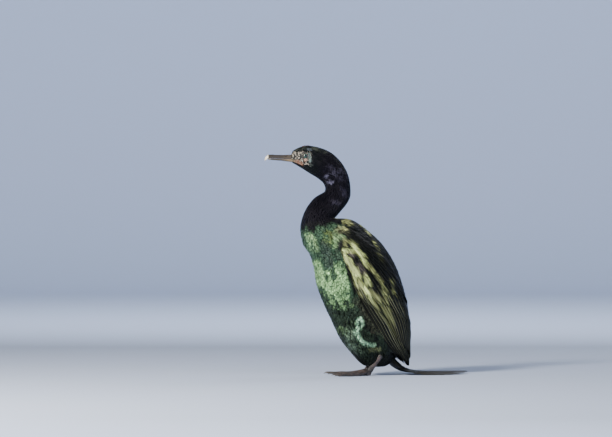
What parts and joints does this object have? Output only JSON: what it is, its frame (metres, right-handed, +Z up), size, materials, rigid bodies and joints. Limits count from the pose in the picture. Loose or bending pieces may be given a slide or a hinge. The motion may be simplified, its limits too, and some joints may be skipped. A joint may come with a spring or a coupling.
{
  "type": "cormorant",
  "caption": "Life-size standing cormorant with folded wings, an S-curved neck turned a little aside, webbed feet, and a stiff tail laid on the ground.",
  "frame": {"origin": "middle of the bird's box in plan, at the level of the ground it stands on", "axes": "+Z up; the bird faces -X and its left side is towards -Y"},
  "size_m": [0.3634, 0.1206, 0.4027],
  "materials": {
    "plumage_black": "black head and neck feathers with a purple and green gloss",
    "plumage_green": "breast and belly feathers with a scaly emerald gloss",
    "plumage_bronze": "wing feathers, bronze green with dark edges and a soft gloss",
    "plumage_tail": "stiff dark grey tail feathers",
    "bill_horn": "grey-brown horn with a pale nail",
    "eye_green": "wet emerald iris round a black pupil",
    "foot_skin": "dark scaly skin of legs, toes and webs",
    "claw_horn": "dark horn"
  },
  "bodies": {
    "root": {"head": "plumage_black", "bill_upper": "bill_horn", "bill_lower": "bill_horn", "eye_left": "eye_green", "eye_right": "eye_green", "neck_upper": "plumage_black", "neck_lower": "plumage_black", "torso": "plumage_green", "thigh_left": "plumage_green", "thigh_right": "plumage_green", "wing_left": "plumage_bronze", "wing_right": "plumage_bronze", "tail": "plumage_tail", "shank_left": "foot_skin", "shank_right": "foot_skin", "foot_left": "foot_skin", "foot_right": "foot_skin", "claw_left_hind": "claw_horn", "claw_left_inner": "claw_horn", "claw_left_middle": "claw_horn", "claw_left_outer": "claw_horn", "claw_right_hind": "claw_horn", "claw_right_inner": "claw_horn", "claw_right_middle": "claw_horn", "claw_right_outer": "claw_horn"}
  },
  "joints": []
}
